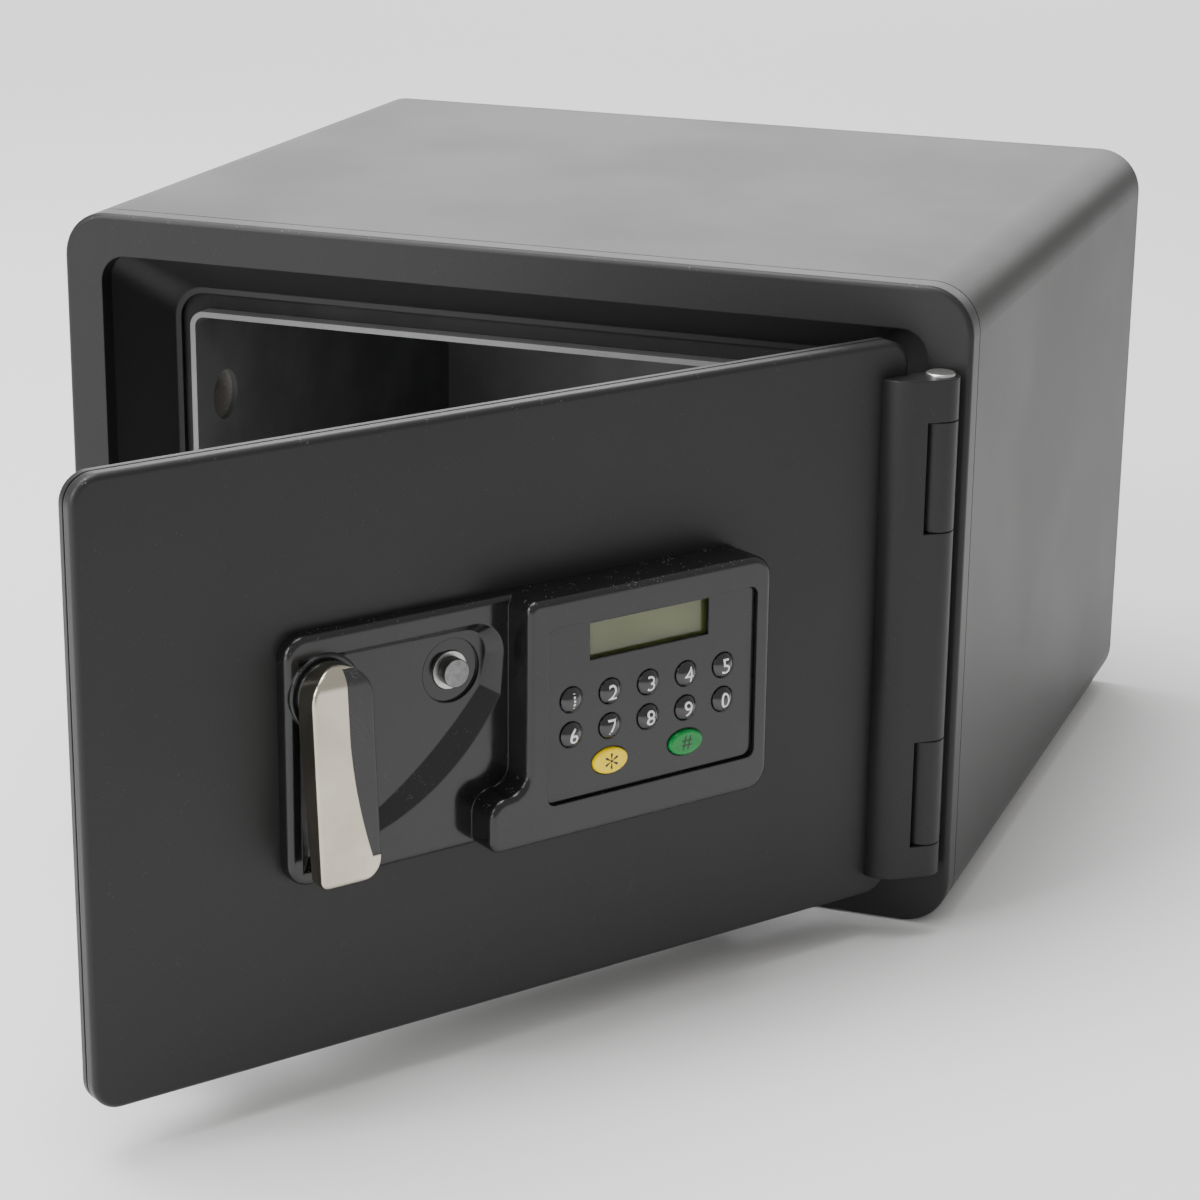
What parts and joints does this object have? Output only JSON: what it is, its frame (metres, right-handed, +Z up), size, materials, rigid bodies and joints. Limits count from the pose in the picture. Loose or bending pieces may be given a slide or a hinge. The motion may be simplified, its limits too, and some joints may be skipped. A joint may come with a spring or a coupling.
{
  "type": "fire-resistant safe",
  "caption": "Fire-resistant box safe with an outside hinge, a half-open door, a raised keypad panel with a display and a downward turning lever that throws side bolts.",
  "frame": {"origin": "centre of the body's flat base", "axes": "+Z up, +Y from the front face into the safe, +X to the hinge side"},
  "size_m": [0.45, 0.7124, 0.302],
  "materials": {
    "body_paint": "charcoal satin powder coat",
    "liner": "dark moulded inner box",
    "seal": "black jamb strip",
    "mineral": "fire-resistant mineral filling",
    "gloss_black": "glossy black moulding",
    "key_black": "glossy black key",
    "key_yellow": "glossy yellow key",
    "key_green": "glossy green key",
    "polished_nickel": "polished plated casting",
    "steel": "plain steel",
    "brass": "plain brass",
    "display": "olive liquid-crystal module",
    "clear": "clear pane",
    "board": "circuit board",
    "inner_plastic": "black plastic",
    "cell": "plain battery cell"
  },
  "bodies": {
    "cabinet": {"front_frame": "body_paint", "outer_jacket": "body_paint", "back_panel": "body_paint", "inner_liner": "liner", "jamb_seal": "seal", "body_insulation": "mineral", "hinge_knuckle_lower": "body_paint", "hinge_knuckle_upper": "body_paint"},
    "door": {"door_skin": "body_paint", "door_back_plate": "body_paint", "door_fire_block": "inner_plastic", "door_cover": "body_paint", "cover_screws": "steel", "bolt_guides": "inner_plastic", "hinge_leaf": "body_paint", "hinge_pin": "steel", "lock_fascia": "gloss_black", "lever_ring": "gloss_black", "key_plate": "gloss_black", "display_panel": "display", "display_glass": "clear", "keypad_board": "board", "board_posts": "inner_plastic", "override_lock": "steel", "spindle_bush": "brass", "battery_case": "inner_plastic", "batteries": "cell", "battery_lid": "inner_plastic"},
    "lever": {"handle_lever": "polished_nickel", "handle_grip": "inner_plastic", "handle_spindle": "steel", "drive_crank": "steel"},
    "bolts": {"bolt_lower": "steel", "bolt_upper": "steel", "bolt_bar": "steel"},
    "lock_cap": {"override_cap": "steel"},
    "button_0": {"key_0": "key_black"},
    "button_1": {"key_1": "key_black"},
    "button_2": {"key_2": "key_black"},
    "button_3": {"key_3": "key_black"},
    "button_4": {"key_4": "key_black"},
    "button_5": {"key_5": "key_black"},
    "button_6": {"key_6": "key_black"},
    "button_7": {"key_7": "key_black"},
    "button_8": {"key_8": "key_black"},
    "button_9": {"key_9": "key_black"},
    "button_star": {"key_star": "key_yellow"},
    "button_hash": {"key_hash": "key_green"}
  },
  "joints": [
    {"name": "door_hinge", "type": "hinge", "parent": "cabinet", "child": "door", "pos_m": [0.2133, -0.192, 0.148], "axis": [0, 0, 1], "range_deg": [-55.6, 114.4]},
    {"name": "lever_turn", "type": "hinge", "parent": "door", "child": "lever", "pos_m": [0.02876, -0.44559, 0.1795], "axis": [0.8251, -0.565, 0], "range_deg": [0, 90]},
    {"name": "bolt_throw", "type": "slide", "parent": "door", "child": "bolts", "axis": [-0.565, -0.8251, 0], "range_m": [0, 0.022]},
    {"name": "cap_pull", "type": "slide", "parent": "door", "child": "lock_cap", "axis": [0.8251, -0.565, 0], "range_m": [0, 0.007]},
    {"name": "press_0", "type": "slide", "parent": "door", "child": "button_0", "axis": [-0.8251, 0.565, 0], "range_m": [0, 0.0012], "stiffness_N_per_m": 500},
    {"name": "press_1", "type": "slide", "parent": "door", "child": "button_1", "axis": [-0.8251, 0.565, 0], "range_m": [0, 0.0012], "stiffness_N_per_m": 500},
    {"name": "press_2", "type": "slide", "parent": "door", "child": "button_2", "axis": [-0.8251, 0.565, 0], "range_m": [0, 0.0012], "stiffness_N_per_m": 500},
    {"name": "press_3", "type": "slide", "parent": "door", "child": "button_3", "axis": [-0.8251, 0.565, 0], "range_m": [0, 0.0012], "stiffness_N_per_m": 500},
    {"name": "press_4", "type": "slide", "parent": "door", "child": "button_4", "axis": [-0.8251, 0.565, 0], "range_m": [0, 0.0012], "stiffness_N_per_m": 500},
    {"name": "press_5", "type": "slide", "parent": "door", "child": "button_5", "axis": [-0.8251, 0.565, 0], "range_m": [0, 0.0012], "stiffness_N_per_m": 500},
    {"name": "press_6", "type": "slide", "parent": "door", "child": "button_6", "axis": [-0.8251, 0.565, 0], "range_m": [0, 0.0012], "stiffness_N_per_m": 500},
    {"name": "press_7", "type": "slide", "parent": "door", "child": "button_7", "axis": [-0.8251, 0.565, 0], "range_m": [0, 0.0012], "stiffness_N_per_m": 500},
    {"name": "press_8", "type": "slide", "parent": "door", "child": "button_8", "axis": [-0.8251, 0.565, 0], "range_m": [0, 0.0012], "stiffness_N_per_m": 500},
    {"name": "press_9", "type": "slide", "parent": "door", "child": "button_9", "axis": [-0.8251, 0.565, 0], "range_m": [0, 0.0012], "stiffness_N_per_m": 500},
    {"name": "press_star", "type": "slide", "parent": "door", "child": "button_star", "axis": [-0.8251, 0.565, 0], "range_m": [0, 0.0012], "stiffness_N_per_m": 500},
    {"name": "press_hash", "type": "slide", "parent": "door", "child": "button_hash", "axis": [-0.8251, 0.565, 0], "range_m": [0, 0.0012], "stiffness_N_per_m": 500}
  ],
  "couplings": [
    {"joint": "bolt_throw", "follows": "lever_turn", "m_per_rad": 0.014006}
  ]
}
